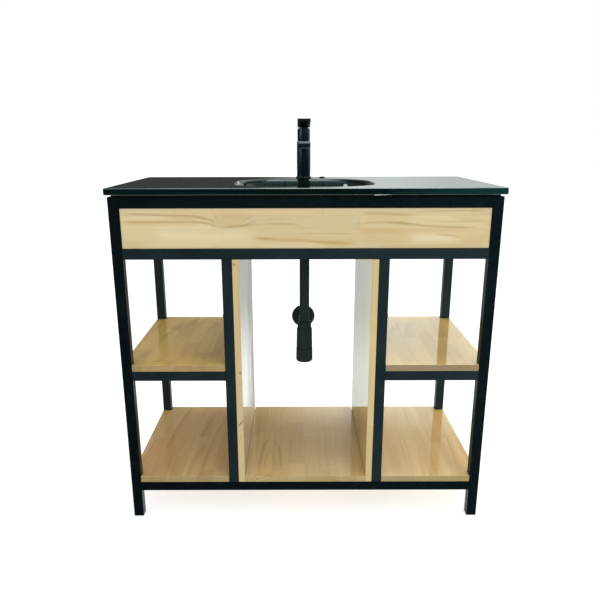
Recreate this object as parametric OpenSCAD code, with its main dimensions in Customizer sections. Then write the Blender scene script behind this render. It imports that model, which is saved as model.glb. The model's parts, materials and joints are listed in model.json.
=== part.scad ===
// Open bathroom vanity unit: welded square-tube frame, jointed pine boards,
// one-piece glass top with a moulded bowl, single-lever mixer, waste and bottle trap.
// Millimetres, +Z up, the front faces -Y, the origin is on the floor at the
// middle of the overall width and depth.

/* [Frame] */
// Outside width of the steel frame
frame_w = 900; // [860:5:1000]
// Outside depth of the steel frame
frame_d = 440; // [430:5:480]
// Height of the frame's top face above the floor
frame_h = 825; // [815:5:850]
// Side of the square steel tube
tube = 25; // [24:1:26]
// Wall of the square steel tube
tube_wall = 1.5; // [1:0.1:2]
// Outside corner radius of the tube
tube_r = 1.6; // [1.2:0.1:2]
// Height of the underside of the bottom rails
bottom_z = 75; // [50:5:90]
// Height of the underside of the shelf rails
shelf_z = 380; // [340:5:420]
// Height of the underside of the apron rails, below the front panel
apron_z = 682; // [675:1:690]
// Distance from the middle to the inner face of a post
post_x = 171.5; // [160:0.5:190]

/* [Boards] */
// Thickness of the jointed pine boards
board_t = 16; // [15:1:18]
// How far the front and side panels lie behind the face of the frame
panel_recess = 3; // [1:0.5:5]
// Gap round a panel and in a board's notches
board_gap = 0.5; // [0.3:0.1:1]

/* [Glass top] */
// Width of the glass top
glass_w = 910; // [902:1:1000]
// Depth of the glass top
glass_d = 460; // [450:5:500]
// Thickness of the glass top
glass_t = 15; // [12:1:19]
// Overhang of the glass in front of the frame
glass_over = 10; // [5:1:15]
// Height of the foam strips between frame and glass
pad_h = 5; // [2:0.5:6]
// Half width of the moulded bowl at the surface
bowl_a = 181; // [165:0.5:190]
// Half depth of the moulded bowl at the surface
bowl_b = 160; // [140:0.5:162]
// Depth of the bowl from the surface to the waste
bowl_deep = 121; // [110:1:122]

/* [Mixer] */
// Radius of the mixer's column
column_r = 19; // [18:0.5:20]
// Height of the column above its base ring
column_h = 96; // [90:1:110]
// Reach of the spout from the column's axis
spout_reach = 110; // [95:1:120]
// Width of the spout
spout_w = 32; // [26:1:34]
// Height of the spout's section
spout_h = 15; // [14:1:18]
// Length of the lever from its pivot
lever_len = 80; // [70:1:100]

/* [Waste and trap] */
// Outside radius of the waste pipes
pipe_r = 13; // [12.8:0.1:14]
// Height of the trap outlet's axis
outlet_z = 421; // [414:1:430]
// Length of outlet pipe behind the glass
pipe_out = 40; // [30:1:60]
// Radius of the wall flange
flange_r = 35.5; // [30:0.5:40]

/* [Hidden] */
$fn = 64;
yf = -(glass_d + pipe_out)/2 + glass_over; // front face of the frame
yb = yf + frame_d;                          // back face of the frame
yw = yf - glass_over + glass_d;             // wall plane, at the back edge of the glass
hw = frame_w/2;
xi = hw - tube;                             // inner face of a leg
px = post_x;                                // inner face of a post
ppx = post_x + tube;                        // outer face of a post
dv = post_x - board_t;                      // inner face of a divider
gz0 = frame_h + pad_h;                      // underside of the glass
gz = gz0 + glass_t;                         // top of the glass
bt = bottom_z + tube;                       // top of the bottom rails
st = shelf_z + tube;
at = apron_z + tube;
tt = frame_h - tube;                        // underside of the top rails
cap_t = 3;                                  // flange of a leg's end cap
bowl_y = yf + 190;                          // middle of the bowl, waste and trap
tap_y = yf + 392;                           // axis of the mixer
bowl_wall = 9;
wz = gz - bowl_deep;                        // inside bottom of the bowl, round the waste
tz0 = gz + 4;                               // bottom of the mixer's column
tz1 = tz0 + column_h;                       // top of the column
lz = tz1 + 29;                              // pivot of the lever
steel = [0.035, 0.045, 0.05];
pine = [0.86, 0.74, 0.52];

// points of a rectangle with round corners, centred on the origin
function round_rect(w, h, r, n = 4) = [for (q = [0:3]) for (i = [0:n])
  let (a = 90*q + 90*i/n, cx = (q == 0 || q == 3 ? 1 : -1)*(w/2 - r), cy = (q < 2 ? 1 : -1)*(h/2 - r))
  [cx + r*cos(a), cy + r*sin(a)]];

// square tube along +Z from the origin, its section centred on the axis
module tube_z(len, open = true) {
  difference() {
    linear_extrude(len) polygon(round_rect(tube, tube, tube_r));
    translate([0, 0, -1]) linear_extrude(len + (open ? 2 : 1 - tube_wall))
      polygon(round_rect(tube - 2*tube_wall, tube - 2*tube_wall, 0.6, 2));
  }
}
// tube along X between two X values, at the given low Y and low Z
module tube_x(x0, x1, y, z) translate([x0, y + tube/2, z + tube/2]) rotate([0, 90, 0]) tube_z(x1 - x0);
// tube along Y between two Y values, at the given low X and low Z
module tube_y(y0, y1, x, z) translate([x + tube/2, y0, z + tube/2]) rotate([-90, 0, 0]) tube_z(y1 - y0);

/* places of the fasteners */
function floor_screw_x() = [-xi + 45, -ppx - 45, -dv + 50, dv - 50, ppx + 45, xi - 45];
function shelf_screw_x() = [-xi + 35, -ppx - 35, ppx + 35, xi - 35];
function screw_y() = [yf + tube/2, yb - tube/2];
function divider_screw_z() = [bt + 80, (st + apron_z)/2];
function front_tab_x() = [-xi*0.8, -xi*0.27, xi*0.27, xi*0.8];
function side_tab_y() = [yf + frame_d*0.28, yf + frame_d*0.72];

// holes that the upright board screws need: r, from z0 up to z1
module up_holes(xs, z0, z1, r) for (x = xs) for (y = screw_y()) translate([x, y, z0]) cylinder(r = r, h = z1 - z0, $fn = 24);

module leg(x, y) color(steel) translate([x + tube/2, y + tube/2, cap_t]) tube_z(frame_h - cap_t, open = false);
module leg_front_left() leg(-hw, yf);
module leg_front_right() leg(xi, yf);
module leg_rear_left() leg(-hw, yb - tube);
module leg_rear_right() leg(xi, yb - tube);

// a post between bottom rail and apron rail; the front ones are drilled for the divider screws
module post(x, y, drill) color(steel) difference() {
  translate([x + tube/2, y + tube/2, bt]) tube_z(apron_z - bt);
  if (drill) for (z = divider_screw_z()) translate([x - 1, y + tube/2, z]) rotate([0, 90, 0]) cylinder(r = 2.2, h = tube + 2, $fn = 24);
}
module post_front_left() post(-ppx, yf, true);
module post_front_right() post(px, yf, true);
module post_rear_left() post(-ppx, yb - tube, false);
module post_rear_right() post(px, yb - tube, false);

module top_rail_front() color(steel) tube_x(-xi, xi, yf, tt);
module top_rail_rear() color(steel) tube_x(-xi, xi, yb - tube, tt);
module apron_rail_front() color(steel) tube_x(-xi, xi, yf, apron_z);
module apron_rail_rear() color(steel) tube_x(-xi, xi, yb - tube, apron_z);
module bottom_rail(y) color(steel) difference() {
  tube_x(-xi, xi, y, bottom_z);
  up_holes(floor_screw_x(), bottom_z - 1, bt + 1, 2.2);
}
module bottom_rail_front() bottom_rail(yf);
module bottom_rail_rear() bottom_rail(yb - tube);
module shelf_rails(x0, x1) color(steel) difference() {
  for (y = [yf, yb - tube]) tube_x(x0, x1, y, shelf_z);
  up_holes(shelf_screw_x(), shelf_z - 1, st + 1, 2.2);
}
module shelf_rails_left() shelf_rails(-xi, -ppx);
module shelf_rails_right() shelf_rails(ppx, xi);
module side_rails(x) color(steel) for (z = [bottom_z, shelf_z, apron_z, tt]) tube_y(yf + tube, yb - tube, x, z);
module side_rails_left() side_rails(-hw);
module side_rails_right() side_rails(xi);
// bars under the boards, in line with the posts
module cross_bars() color(steel) for (x = [-ppx, px]) tube_y(yf + tube, yb - tube, x, bottom_z);

// small welded tabs behind the panels, drilled for a screw
tab_w = 30; tab_h = 22; tab_t = 2;
module tab() difference() {
  translate([-tab_w/2, 0, 0]) cube([tab_w, tab_t, tab_h]);
  translate([0, -1, tab_h/2 + 2]) rotate([-90, 0, 0]) cylinder(r = 2, h = tab_t + 2, $fn = 24);
}
py = yf + panel_recess + board_t; // back of the front panel
sx = hw - panel_recess - board_t; // inner face of a side panel
module panel_tabs() color(steel) {
  for (x = front_tab_x()) {
    translate([x, py, at]) tab();
    translate([x, py, tt]) mirror([0, 0, 1]) tab();
  }
  for (s = [-1, 1]) for (y = side_tab_y()) {
    translate([s*sx, y, at]) rotate([0, 0, s*90]) tab();
    translate([s*sx, y, tt]) mirror([0, 0, 1]) rotate([0, 0, s*90]) tab();
  }
  // tabs in front of the rear posts, on the outer faces of the dividers
  for (s = [-1, 1]) for (z = divider_screw_z()) translate([s*px, yb - tube - tab_w/2, z - tab_h/2 - 2]) rotate([0, 0, -s*90]) tab();
}

// plastic plug in the foot of each leg
module end_cap() color([0.06, 0.06, 0.065]) {
  plug = tube - 2*tube_wall - 0.3;
  linear_extrude(cap_t) polygon(round_rect(tube, tube, tube_r));
  translate([0, 0, cap_t]) difference() {
    linear_extrude(18) polygon(round_rect(plug, plug, 0.8, 2));
    translate([0, 0, 2]) linear_extrude(18) polygon(round_rect(plug - 4, plug - 4, 0.8, 2));
  }
}
module leg_end_caps() for (x = [-hw + tube/2, hw - tube/2]) for (y = [yf + tube/2, yb - tube/2]) translate([x, y, 0]) end_cap();

// panels of the apron, drilled from behind for their screws
module back_pilots() for (z = [at + tab_h/2 + 2, tt - tab_h/2 - 2]) translate([0, 0, z]) rotate([90, 0, 0]) cylinder(r = 1.85, h = 12, $fn = 24);
module front_panel() color(pine) difference() {
  g = board_gap;
  translate([-xi + g, py - board_t, at + g]) cube([2*(xi - g), board_t, tt - at - 2*g]);
  for (x = front_tab_x()) translate([x, py + 0.01, 0]) back_pilots();
}
module side_panel(s) color(pine) difference() {
  g = board_gap;
  translate([s*(sx + board_t/2) - board_t/2, yf + tube + g, at + g]) cube([board_t, frame_d - 2*tube - 2*g, tt - at - 2*g]);
  for (y = side_tab_y()) translate([s*(sx - 0.01), y, 0]) rotate([0, 0, s*90]) back_pilots();
}
module side_panel_left() side_panel(-1);
module side_panel_right() side_panel(1);

// plan of a board that fills a bay on the right, notched round leg and post
function bay_plan() = let (g = board_gap, t = tube + g)
  [[px + g, yf + t], [ppx + g, yf + t], [ppx + g, yf], [xi - g, yf], [xi - g, yf + t], [hw, yf + t],
   [hw, yb - t], [xi - g, yb - t], [xi - g, yb], [ppx + g, yb], [ppx + g, yb - t], [px + g, yb - t]];
module bay_board(s, z, xs) color(pine) difference() {
  translate([0, 0, z]) mirror([s < 0 ? 1 : 0, 0, 0]) linear_extrude(board_t) polygon(bay_plan());
  up_holes(xs, z - 1, z + 12, 2.05);
}
module shelf_left() bay_board(-1, st, shelf_screw_x());
module shelf_right() bay_board(1, st, shelf_screw_x());
module floor_left() bay_board(-1, bt, floor_screw_x());
module floor_right() bay_board(1, bt, floor_screw_x());
module floor_centre() color(pine) difference() {
  translate([-dv + 0.2, yf, bt]) cube([2*dv - 0.4, frame_d, board_t]);
  up_holes(floor_screw_x(), bt - 1, bt + 12, 2.05);
}
module divider(s) color(pine) difference() {
  translate([s*(dv + board_t/2) - board_t/2, yf, bt]) cube([board_t, frame_d - tube, apron_z - bt]);
  for (z = divider_screw_z()) translate([s*px, yf + tube/2, z]) rotate([0, -s*90, 0]) cylinder(r = 2.05, h = 12, $fn = 24);
  for (z = divider_screw_z()) translate([s*px, yb - tube - tab_w/2, z]) rotate([0, -s*90, 0]) cylinder(r = 1.85, h = 12, $fn = 24);
}
module divider_left() divider(-1);
module divider_right() divider(1);

// pan-head screw pointing up from the origin
module screw(len, r, hr, hh) color([0.25, 0.25, 0.26]) rotate_extrude($fn = 32)
  polygon([[0, -hh], [hr*0.72, -hh], [hr, -hh*0.45], [hr, 0], [r, 0], [r, len - r], [0, len]]);
module board_screws() {
  for (x = floor_screw_x()) for (y = screw_y()) translate([x, y, bottom_z]) screw(tube + 11, 2, 4.2, 2.4);
  for (x = shelf_screw_x()) for (y = screw_y()) translate([x, y, shelf_z]) screw(tube + 11, 2, 4.2, 2.4);
  for (s = [-1, 1]) for (z = divider_screw_z()) translate([s*ppx, yf + tube/2, z]) rotate([0, -s*90, 0]) screw(tube + 11, 2, 4.2, 2.4);
}
module panel_screws() {
  for (s = [-1, 1]) for (z = divider_screw_z()) translate([s*(px + tab_t), yb - tube - tab_w/2, z]) rotate([0, -s*90, 0]) screw(tab_t + 11, 1.8, 3.8, 2.2);
  for (x = front_tab_x()) for (z = [at + tab_h/2 + 2, tt - tab_h/2 - 2])
    translate([x, py + tab_t, z]) rotate([90, 0, 0]) screw(tab_t + 11, 1.8, 3.8, 2.2);
  for (s = [-1, 1]) for (y = side_tab_y()) for (z = [at + tab_h/2 + 2, tt - tab_h/2 - 2])
    translate([s*(sx - tab_t), y, z]) rotate([0, s*90, 0]) screw(tab_t + 11, 1.8, 3.8, 2.2);
}

// strip of black foam on the front and the rear rail, thinner over two stretches where it leaves a slit under the glass
module glass_pads() color([0.05, 0.05, 0.05]) for (y = [yf + tube/2, yb - tube/2]) translate([0, y + 7.5, frame_h]) rotate([90, 0, 0])
  linear_extrude(15) polygon([[8 - hw, 0], [hw - 8, 0], [hw - 8, pad_h], [262, pad_h], [258, 0.78*pad_h], [146, 0.30*pad_h], [144, pad_h],
    [-203, pad_h], [-205, 0.60*pad_h], [-267, 0.66*pad_h], [-269, pad_h], [8 - hw, pad_h]]);

/* the bowl: one profile swept round a rectangle with large corners */
bowl_r = 130;                // corner radius of the rim
bcx = bowl_a - bowl_r;       // corner centres of the rim
bcy = bowl_b - bowl_r;
bk = bowl_deep/121;
bowl_in = [[0, 20], [bowl_r, 20], [bowl_r, 0], [126.6, -0.8], [123.2, -2.8], [120.3, -6.2], [118.2, -11], [116.6, -18],
  [114, -30*bk], [110.4, -46*bk], [105.2, -62*bk], [98, -78*bk], [88.2, -92*bk], [76, -103*bk], [62, -111*bk],
  [46, -116.6*bk], [32, -119.9*bk], [20, -121*bk], [0, -121*bk]];
bowl_out = [[0, -10], [127.5, -10], [125, -19], [122.6, -31*bk], [119, -48*bk], [113.6, -65.5*bk], [105.6, -83*bk], [94.6, -98.8*bk],
  [81, -111*bk], [65.5, -119.6*bk], [48, -121*bk - 4.6], [33, -121*bk - 7.8], [20, -121*bk - 9], [0, -121*bk - 9]];
// solid whose section is the profile, swept round the rectangle of corner centres
module swept(prof, top, low) {
  for (q = [0:3]) translate([(q == 0 || q == 3 ? 1 : -1)*bcx, (q < 2 ? 1 : -1)*bcy, 0]) rotate([0, 0, 90*q])
    rotate_extrude(angle = 90, $fn = 96) polygon(prof);
  for (m = [0, 1]) mirror([m, 0, 0]) translate([bcx, bcy, 0]) rotate([90, 0, 0]) linear_extrude(2*bcy) polygon(prof);
  for (m = [0, 1]) mirror([0, m, 0]) translate([-bcx, bcy, 0]) rotate([0, 0, 90]) rotate([90, 0, 0]) linear_extrude(2*bcx) polygon(prof);
  translate([-bcx, -bcy, low]) cube([2*bcx, 2*bcy, top - low]);
}
module glass_top() color([0.02, 0.05, 0.045]) difference() {
  union() {
    translate([0, (yf - glass_over) + glass_d/2, gz0]) linear_extrude(glass_t) polygon(round_rect(glass_w, glass_d, 4, 5));
    translate([0, bowl_y, gz]) swept(bowl_out, -10, -bowl_deep - bowl_wall);
  }
  translate([0, bowl_y, gz]) swept(bowl_in, 20, -bowl_deep);
  translate([0, bowl_y, wz - bowl_wall - 5]) cylinder(r = 22.5, h = bowl_wall + 20);
  translate([0, tap_y, gz0 - 1]) cylinder(r = 17.5, h = glass_t + 2);
  translate([plug_x, plug_y, gz0 - 1]) cylinder(r = 6.5, h = glass_t + 2);
}
// soft plug that closes the spare hole behind the bowl
plug_x = 53; plug_y = yf + 409;
module hole_plug() color([0.03, 0.03, 0.03]) translate([plug_x, plug_y, gz]) rotate_extrude($fn = 48)
  polygon([[0, -glass_t - 2], [5.2, -glass_t - 2], [6.4, -glass_t + 1], [6.4, 0], [8.3, 0], [8.5, 0.8], [7.6, 2], [4, 2.6], [0, 2.8]]);

/* mixer */
black = [0.02, 0.022, 0.025];
module at_tap(z) translate([0, tap_y, z]) children();
module tap_base_seal() color([0.05, 0.05, 0.05]) at_tap(gz) difference() { cylinder(r = column_r + 2, h = 1); translate([0, 0, -1]) cylinder(r = 17, h = 3); }
module tap_base_ring() color(black) at_tap(gz + 1) difference() {
  union() { cylinder(r = column_r + 3, h = 1.8); translate([0, 0, 1.8]) cylinder(r1 = column_r + 3, r2 = column_r + 1.8, h = 1.2); }
  translate([0, 0, -1]) cylinder(r = 16, h = 5);
}
inlet_x = 7.5; inlet_y = -5; stud_y = 9;
module tap_body() color(black) difference() {
  at_tap(tz0) union() {
    cylinder(r = column_r, h = column_h, $fn = 96);
    translate([0, -10, column_h - spout_h/2]) rotate([90, 0, 0]) linear_extrude(spout_reach - 10) polygon(round_rect(spout_w, spout_h, 5, 6));
  }
  at_tap(tz1 - 20) cylinder(r = 12.5, h = 21);
  for (s = [-1, 1]) at_tap(tz0) translate([s*inlet_x, inlet_y, -1]) cylinder(r = 4.5, h = 15, $fn = 40);
  at_tap(tz0) translate([0, stud_y, -1]) cylinder(r = 3.02, h = 13, $fn = 32);
  at_tap(tz1 - spout_h) translate([0, -spout_reach + 14, -1]) cylinder(r = 10.6, h = 5);
}
module tap_aerator() color([0.5, 0.5, 0.52]) at_tap(tz1 - spout_h - 4) translate([0, -spout_reach + 14, 0]) difference() {
  cylinder(r = 10.5, h = 7.5);
  translate([0, 0, -1]) cylinder(r = 8.6, h = 3);
  for (i = [0:7]) rotate([0, 0, 45*i]) translate([5.4, 0, -1]) cylinder(r = 1.3, h = 10, $fn = 16);
}
// collar round the ball, its top sloping down to the rear so that the lever can tilt
module tap_shroud() color(black) at_tap(tz1) difference() {
  cylinder(r = 17.5, h = lz + 9 - tz1, $fn = 96);
  translate([0, 0, -1]) cylinder(r = 12.5, h = lz - tz1 + 3);
  translate([0, 0, lz - 5 - tz1]) cylinder(r = 13.8, h = 20, $fn = 96);
  translate([0, 0, lz + 2.75 - tz1]) rotate([-17, 0, 0]) translate([-30, -30, 0]) cube([60, 60, 20]);
}
module tap_cartridge() color([0.75, 0.75, 0.72]) at_tap(tz1 - 20) difference() {
  cylinder(r = 12.4, h = lz - tz1 + 15);
  translate([0, 0, 25]) cylinder(r = 5.05, h = lz);
}
// domed carrier that turns with the lever and holds its pivot pin
module tap_ball() color(black) at_tap(lz) difference() {
  union() {
    difference() { sphere(r = 13.5, $fn = 96); translate([-20, -20, -44]) cube([40, 40, 40]); }
    translate([0, 0, -20]) cylinder(r = 5, h = 19);
  }
  translate([-3.6, -5, -5.4]) cube([7.2, 20, 27]);
  translate([-20, 0, 0]) rotate([0, 90, 0]) cylinder(r = 2.02, h = 40, $fn = 32);
}
module tap_pivot_pin() color([0.6, 0.6, 0.62]) at_tap(lz) translate([-12, 0, 0]) rotate([0, 90, 0]) cylinder(r = 2, h = 24, $fn = 32);
// plan of the paddle, a little wider at the tip
function paddle_plan() = concat(
  [for (i = [0:4]) let (a = 90*i/4) [17.6 - 2.5 + 2.5*cos(a), 12 - 2.5 + 2.5*sin(a)]],
  [for (i = [0:4]) let (a = 90 + 90*i/4) [-17.6 + 2.5 + 2.5*cos(a), 12 - 2.5 + 2.5*sin(a)]],
  [for (i = [0:4]) let (a = 180 + 90*i/4) [-17.8 + 3 + 3*cos(a), -lever_len + 3 + 3*sin(a)]],
  [for (i = [0:4]) let (a = 270 + 90*i/4) [17.8 - 3 + 3*cos(a), -lever_len + 3 + 3*sin(a)]]);
module tap_lever() color(black) at_tap(lz) difference() {
  union() {
    rotate([-9, 0, 0]) translate([0, 0, 9.5]) linear_extrude(7.5) polygon(paddle_plan());
    translate([0, 0, -3.2]) cylinder(r = 3.2, h = 18, $fn = 32);
  }
  difference() {
    sphere(r = 13.8, $fn = 96);
    translate([0, 0, -20]) cylinder(r = 3.2, h = 40, $fn = 32);
  }
  translate([-20, 0, 0]) rotate([0, 90, 0]) cylinder(r = 2.06, h = 40, $fn = 32);
}
module tap_stud() color([0.7, 0.68, 0.6]) at_tap(gz0 - 40) translate([0, stud_y, 0]) cylinder(r = 3, h = tz0 + 11 - (gz0 - 40), $fn = 32);
module clamp_half(r, h) difference() {
  cylinder(r = r, h = h);
  translate([-r - 1, -r - 1, -1]) cube([2*r + 2, r + 2.2, h + 2]);
  translate([0, stud_y, -1]) cylinder(r = 3.1, h = h + 2, $fn = 32);
}
// steel half plate on a rubber half washer, under the glass
module tap_clamp_plate() { color([0.7, 0.7, 0.7]) at_tap(gz0 - 6) clamp_half(23, 3); color([0.08, 0.08, 0.08]) at_tap(gz0 - 3) clamp_half(23, 3); }
module tap_nut() color([0.75, 0.7, 0.5]) at_tap(gz0 - 12) translate([0, stud_y, 0]) difference() { cylinder(r = 6.4, h = 6, $fn = 6); translate([0, 0, -1]) cylinder(r = 3.02, h = 8, $fn = 32); }

/* waste */
module at_bowl(z) translate([0, bowl_y, z]) children();
wb = wz - 69; // lower end of the waste body
module waste_body() color(black) at_bowl(0) difference() {
  union() {
    difference() {
      union() {
        translate([0, 0, wb]) cylinder(r = 20.5, h = wz + 1 - wb);
        translate([0, 0, wz + 1]) cylinder(r1 = 31, r2 = 29, h = 3);
      }
      translate([0, 0, wb - 1]) cylinder(r = pipe_r + 0.05, h = 22);
      translate([0, 0, wb + 20]) cylinder(r = 16.5, h = wz - wb);
    }
    // three-armed guide for the plug's stem
    translate([0, 0, wb + 45]) {
      cylinder(r = 6.5, h = 6);
      for (i = [0:2]) rotate([0, 0, 120*i + 90]) translate([0, -1.5, 0]) cube([18, 3, 6]);
    }
  }
  translate([0, 0, wb + 40]) cylinder(r = 4.05, h = 20, $fn = 40);
}
module waste_gaskets() color([0.1, 0.1, 0.1]) at_bowl(0) {
  translate([0, 0, wz]) difference() { cylinder(r = 30, h = 1); translate([0, 0, -1]) cylinder(r = 20.6, h = 3); }
  translate([0, 0, wz - bowl_wall - 4]) difference() { cylinder(r = 29, h = 4); translate([0, 0, -1]) cylinder(r = 20.6, h = 6); }
}
module waste_nut() color(black) at_bowl(wz - bowl_wall - 15) difference() {
  cylinder(r = 29, h = 11, $fn = 8);
  translate([0, 0, -1]) cylinder(r = 20.6, h = 13);
}
// push plug with its guide stem
module waste_plug() color(black) at_bowl(wz + 4.3) union() {
  rotate_extrude($fn = 96) polygon([[0, -1], [6, -1], [6, 0], [28.5, 0], [29.5, 1], [29.5, 2.6], [27.5, 4.2], [20, 5.4], [10, 6], [0, 6.2]]);
  translate([0, 0, -44]) cylinder(r = 4, h = 44, $fn = 40);
}

/* bottle trap */
nut_top = outlet_z + 53;
body_top = nut_top - 18;
cup_top = outlet_z - 17;
cup_low = cup_top - 38;
module trap_tailpiece() color(black) at_bowl(cup_top - 15) difference() {
  cylinder(r = pipe_r, h = wb + 20 - (cup_top - 15));
  translate([0, 0, -1]) cylinder(r = pipe_r - 1.5, h = 600);
}
module trap_inlet_nut() color(black) at_bowl(body_top) difference() {
  union() { cylinder(r = 18.6, h = 11); translate([0, 0, 11]) cylinder(r1 = 18.6, r2 = 16.4, h = 7); }
  translate([0, 0, -1]) cylinder(r = pipe_r + 0.05, h = 30);
}
stub_end = bowl_y + 34;
module trap_body() color(black) difference() {
  union() {
    at_bowl(cup_top) cylinder(r1 = 21.8, r2 = 20.6, h = body_top - cup_top);
    at_bowl(cup_top - 12) cylinder(r = 17.8, h = 13);
    translate([0, bowl_y, outlet_z]) rotate([-90, 0, 0]) cylinder(r = 16.4, h = 34);
  }
  at_bowl(cup_top - 13) cylinder(r = 15.8, h = body_top - cup_top + 9);
  at_bowl(body_top - 6) cylinder(r = pipe_r + 0.05, h = 10);
  translate([0, bowl_y, outlet_z]) rotate([-90, 0, 0]) cylinder(r = 12.5, h = 40);
  translate([0, bowl_y + 22, outlet_z]) rotate([-90, 0, 0]) cylinder(r = pipe_r + 0.05, h = 20);
}
module trap_cup_seal() color([0.09, 0.09, 0.09]) at_bowl(cup_top - 1) difference() { cylinder(r = 19.4, h = 0.9); translate([0, 0, -1]) cylinder(r = 17.9, h = 3); }
module trap_cup() color(black) at_bowl(cup_low) rotate_extrude($fn = 96)
  polygon([[0, 0], [17.4, 0], [20.1, 0.8], [21.9, 2.6], [22.6, 5.5], [22.4, 20], [22.1, 36.9], [17.9, 36.9], [17.9, 24], [17, 23], [17, 8], [14, 4.5], [0, 3.5]]);
module trap_outlet_nut() color(black) translate([0, stub_end - 9, outlet_z]) rotate([-90, 0, 0]) difference() {
  union() { cylinder(r = 19.5, h = 12); translate([0, 0, 12]) cylinder(r1 = 19.5, r2 = 17, h = 4); }
  translate([0, 0, -1]) cylinder(r = 16.45, h = 10);
  translate([0, 0, -1]) cylinder(r = pipe_r + 0.05, h = 20);
}
pipe_y0 = bowl_y + 22;
pipe_y1 = yw + pipe_out;
module trap_outlet_pipe() color(black) translate([0, 0, outlet_z]) rotate([-90, 0, 0]) difference() {
  translate([0, 0, pipe_y0]) cylinder(r = pipe_r, h = pipe_y1 - pipe_y0);
  translate([0, 0, pipe_y0 - 1]) cylinder(r = pipe_r - 1.5, h = 600);
  translate([0, 0, yw + 1]) difference() { cylinder(r = pipe_r + 2, h = 2); translate([0, 0, -1]) cylinder(r = pipe_r - 0.4, h = 4); }
}
module wall_flange() color(black) translate([0, yw, outlet_z]) rotate([90, 0, 0]) rotate_extrude($fn = 96)
  polygon([[pipe_r + 0.3, 0.4], [pipe_r + 0.3, 11], [17.2, 11], [17.9, 8.4], [21, 7.2], [27, 5.6], [32, 3.6], [flange_r - 0.9, 1.6], [flange_r, 0.6], [flange_r, 0], [33.5, 0], [26, 4], [19, 5.8], [16.4, 5.8], [16.4, 0.4]]);

leg_front_left();
leg_front_right();
leg_rear_left();
leg_rear_right();
post_front_left();
post_front_right();
post_rear_left();
post_rear_right();
top_rail_front();
top_rail_rear();
apron_rail_front();
apron_rail_rear();
bottom_rail_front();
bottom_rail_rear();
shelf_rails_left();
shelf_rails_right();
side_rails_left();
side_rails_right();
cross_bars();
panel_tabs();
leg_end_caps();
front_panel();
side_panel_left();
side_panel_right();
shelf_left();
shelf_right();
floor_left();
floor_centre();
floor_right();
divider_left();
divider_right();
board_screws();
panel_screws();
glass_pads();
glass_top();
hole_plug();
tap_base_seal();
tap_base_ring();
tap_body();
tap_aerator();
tap_shroud();
tap_cartridge();
tap_ball();
tap_pivot_pin();
tap_lever();
tap_stud();
tap_clamp_plate();
tap_nut();
waste_body();
waste_gaskets();
waste_nut();
waste_plug();
trap_tailpiece();
trap_inlet_nut();
trap_body();
trap_cup_seal();
trap_cup();
trap_outlet_nut();
trap_outlet_pipe();
wall_flange();
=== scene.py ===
import json
import math

import bmesh
import bpy
from mathutils import Matrix, Vector


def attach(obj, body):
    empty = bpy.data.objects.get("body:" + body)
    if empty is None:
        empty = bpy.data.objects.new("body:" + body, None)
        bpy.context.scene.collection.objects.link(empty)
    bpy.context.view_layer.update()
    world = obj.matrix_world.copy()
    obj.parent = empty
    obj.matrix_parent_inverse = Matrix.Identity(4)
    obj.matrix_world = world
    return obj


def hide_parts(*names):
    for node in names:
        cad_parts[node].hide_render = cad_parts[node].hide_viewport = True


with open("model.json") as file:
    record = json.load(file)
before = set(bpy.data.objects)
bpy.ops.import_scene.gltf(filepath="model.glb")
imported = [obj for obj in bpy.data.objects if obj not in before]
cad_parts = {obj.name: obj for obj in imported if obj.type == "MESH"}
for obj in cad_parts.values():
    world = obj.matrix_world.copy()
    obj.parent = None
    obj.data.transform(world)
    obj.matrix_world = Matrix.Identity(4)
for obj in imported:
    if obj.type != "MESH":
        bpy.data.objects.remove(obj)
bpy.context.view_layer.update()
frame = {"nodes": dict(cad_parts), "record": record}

scene = bpy.context.scene
PI = math.pi

# ---------------------------------------------------------------- camera
cam_data = bpy.data.cameras.new("Camera")
cam = bpy.data.objects.new("Camera", cam_data)
scene.collection.objects.link(cam)
scene.camera = cam
cam_data.sensor_width = 36.0
cam_data.lens = 623.41 * 36.0 / 600.0
cam_data.shift_x = 0.00645
cam_data.shift_y = 0.04628
cam_data.clip_start = 0.05
cam_data.clip_end = 60.0
cam.location = (-0.02243, -1.67285, 0.94700)
cam.rotation_euler = (Matrix.Rotation(math.radians(90 - 16.721), 4, "X") @ Matrix.Rotation(math.radians(-0.133), 4, "Z")).to_euler()
scene.view_settings.view_transform = "Standard"
scene.view_settings.look = "None"


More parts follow.
